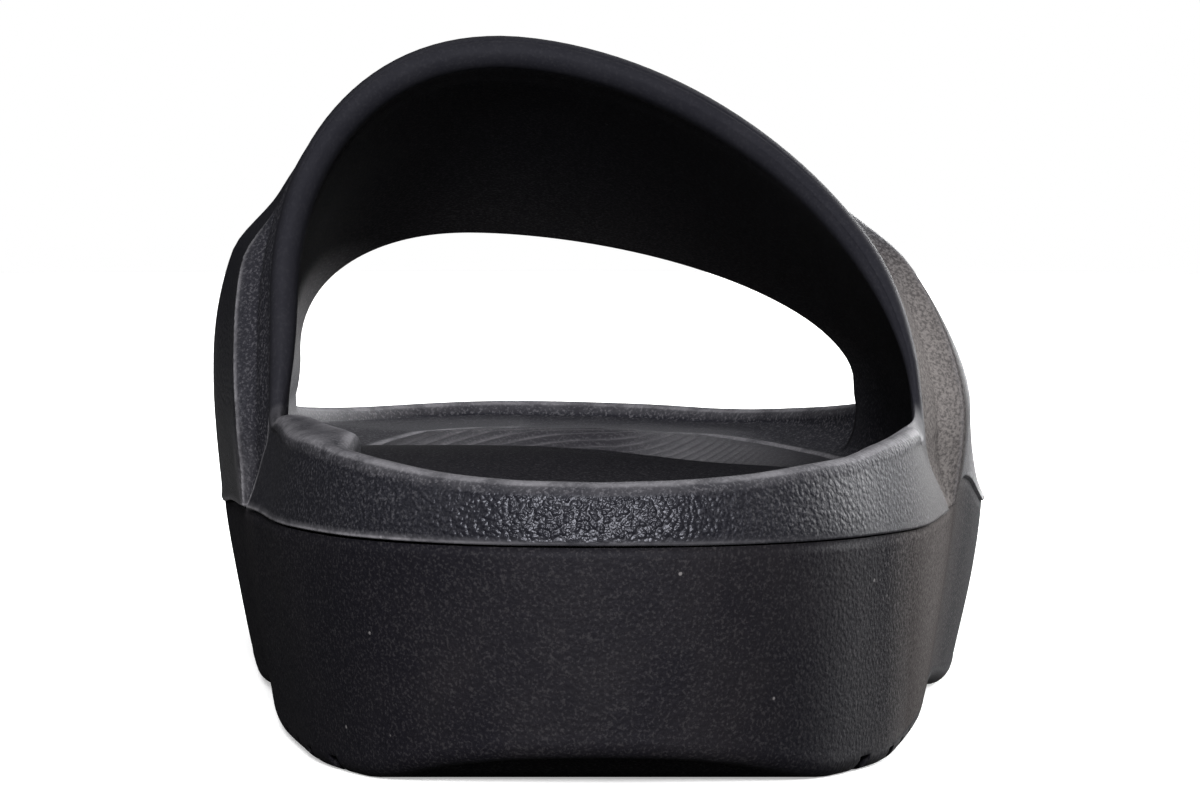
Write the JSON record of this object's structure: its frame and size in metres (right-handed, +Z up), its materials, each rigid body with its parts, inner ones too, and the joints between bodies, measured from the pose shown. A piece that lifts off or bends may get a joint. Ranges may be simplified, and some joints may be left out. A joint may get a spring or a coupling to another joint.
{
  "type": "slide sandal",
  "caption": "Right-foot moulded foam slide sandal: one-piece strap and footframe with a rolled rear rim, outer sole and ribbed insole.",
  "frame": {"origin": "on the floor, under the middle of the shoe's bounding box", "axes": "+Y from heel to toe, +X to the outer (lateral) side of the right foot, +Z up from the floor"},
  "size_m": [0.1186, 0.29, 0.0992],
  "materials": {
    "upper_foam": "satin",
    "sole_foam": "matte",
    "insole_foam": "matte"
  },
  "bodies": {
    "root": {"upper": "upper_foam", "sole": "sole_foam", "insole": "insole_foam"}
  },
  "joints": []
}
